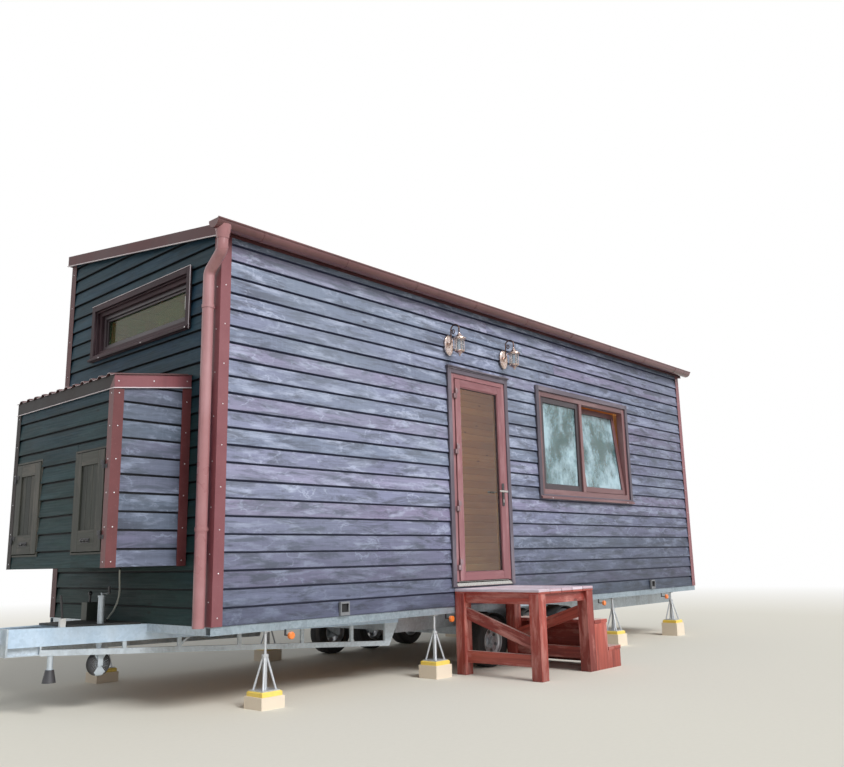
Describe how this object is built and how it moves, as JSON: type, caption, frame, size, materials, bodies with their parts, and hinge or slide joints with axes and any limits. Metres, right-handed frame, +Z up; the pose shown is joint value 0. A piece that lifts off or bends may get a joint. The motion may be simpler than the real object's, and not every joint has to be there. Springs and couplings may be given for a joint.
{
  "type": "tiny house on wheels",
  "caption": "Timber tiny house on a multi-axle trailer with a mono-pitch roof, end locker, jack stands and loose entrance steps.",
  "frame": {"origin": "middle of the footprint of the whole part, at the level of the ground", "axes": "+X along the long side, away from the drawbar; +Y from the door side to the back; +Z up"},
  "size_m": [9.366, 3.503, 3.9902],
  "materials": {
    "board": "weathered stained boards",
    "roof_deck": "painted edge",
    "floor": "plywood",
    "trim_metal": "matt coated sheet",
    "joinery": "semi-gloss stained",
    "trim_wood": "stained boards",
    "glass": "clear",
    "handle_metal": "satin",
    "galvanised": "galvanised",
    "black_metal": "black",
    "fitting_metal": "dull zinc",
    "tyre": "rubber",
    "stand_metal": "zinc plated",
    "plate_yellow": "worn plastic",
    "pale_block": "concrete",
    "lamp_orange": "lens",
    "inlet_grey": "moulded",
    "copper": "aged copper",
    "step_wood": "stained",
    "hose": "smooth"
  },
  "bodies": {
    "house": {"floor_deck": "floor", "front_wall_left": "board", "front_wall_right": "board", "front_wall_over_door": "board", "front_wall_under_door": "board", "back_wall": "board", "left_end_wall": "board", "right_end_wall": "board", "roof_panel": "roof_deck", "roof_sheet": "trim_metal", "roof_edge_trims": "trim_metal", "gutter": "trim_metal", "downpipe": "trim_metal", "corner_trims": "trim_metal", "door_frame": "joinery", "window_frame": "joinery", "window_sashes": "joinery", "window_panes": "glass", "loft_window_frame": "joinery", "opening_trims": "trim_wood", "locker_sides": "board", "locker_front": "board", "locker_floor": "board", "locker_roof": "trim_metal", "locker_trims": "trim_metal", "side_rails": "galvanised", "cross_members": "galvanised", "main_beams": "galvanised", "drawbar_arms": "galvanised", "drawbar_braces": "galvanised", "drawbar_plate": "black_metal", "coupling": "black_metal", "hand_brake": "fitting_metal", "jockey_wheel": "fitting_metal", "drawbar_fittings": "fitting_metal", "axles": "galvanised", "mudguards": "galvanised", "jack_stands": "stand_metal", "stand_plates": "plate_yellow", "stand_blocks": "pale_block", "marker_lamps": "lamp_orange", "wall_inlets": "inlet_grey", "lanterns": "copper", "lantern_glasses": "glass", "step_deck": "step_wood", "step_frame": "step_wood", "step_flight": "step_wood", "gas_hose": "hose"},
    "door": {"door_leaf": "joinery", "door_glass": "glass", "door_plates": "handle_metal"},
    "door_handle": {"door_lever": "handle_metal"},
    "near_locker_hatch": {"near_hatch": "board"},
    "far_locker_hatch": {"far_hatch": "board"},
    "near_wheel_1_body": {"near_wheel_1": "tyre"},
    "near_wheel_2_body": {"near_wheel_2": "tyre"},
    "near_wheel_3_body": {"near_wheel_3": "tyre"},
    "far_wheel_1_body": {"far_wheel_1": "tyre"},
    "far_wheel_2_body": {"far_wheel_2": "tyre"},
    "far_wheel_3_body": {"far_wheel_3": "tyre"}
  },
  "joints": [
    {"name": "door_hinge", "type": "hinge", "parent": "house", "child": "door", "pos_m": [-0.413, -0.8415, 1.8], "axis": [0, 0, -1], "range_deg": [0, 100]},
    {"name": "door_handle_turn", "type": "hinge", "parent": "door", "child": "door_handle", "pos_m": [0.299, -0.8115, 1.685], "axis": [0, -1, 0], "range_deg": [0, 40], "stiffness_Nm_per_rad": 2, "springref_deg": -28.65},
    {"name": "near_hatch_hinge", "type": "hinge", "parent": "house", "child": "near_locker_hatch", "pos_m": [-3.762, -0.3785, 1.5], "axis": [0, 0, 1], "range_deg": [0, 110]},
    {"name": "far_hatch_hinge", "type": "hinge", "parent": "house", "child": "far_locker_hatch", "pos_m": [-3.762, 1.0705, 1.5], "axis": [0, 0, -1], "range_deg": [0, 110]},
    {"name": "near_wheel_1_spin", "type": "hinge", "parent": "house", "child": "near_wheel_1_body", "pos_m": [0.107, -0.7015, 0.24], "axis": [0, 1, 0], "continuous": true},
    {"name": "near_wheel_2_spin", "type": "hinge", "parent": "house", "child": "near_wheel_2_body", "pos_m": [0.742, -0.7015, 0.24], "axis": [0, 1, 0], "continuous": true},
    {"name": "near_wheel_3_spin", "type": "hinge", "parent": "house", "child": "near_wheel_3_body", "pos_m": [1.377, -0.7015, 0.24], "axis": [0, 1, 0], "continuous": true},
    {"name": "far_wheel_1_spin", "type": "hinge", "parent": "house", "child": "far_wheel_1_body", "pos_m": [0.107, 1.5785, 0.24], "axis": [0, 1, 0], "continuous": true},
    {"name": "far_wheel_2_spin", "type": "hinge", "parent": "house", "child": "far_wheel_2_body", "pos_m": [0.742, 1.5785, 0.24], "axis": [0, 1, 0], "continuous": true},
    {"name": "far_wheel_3_spin", "type": "hinge", "parent": "house", "child": "far_wheel_3_body", "pos_m": [1.377, 1.5785, 0.24], "axis": [0, 1, 0], "continuous": true}
  ]
}
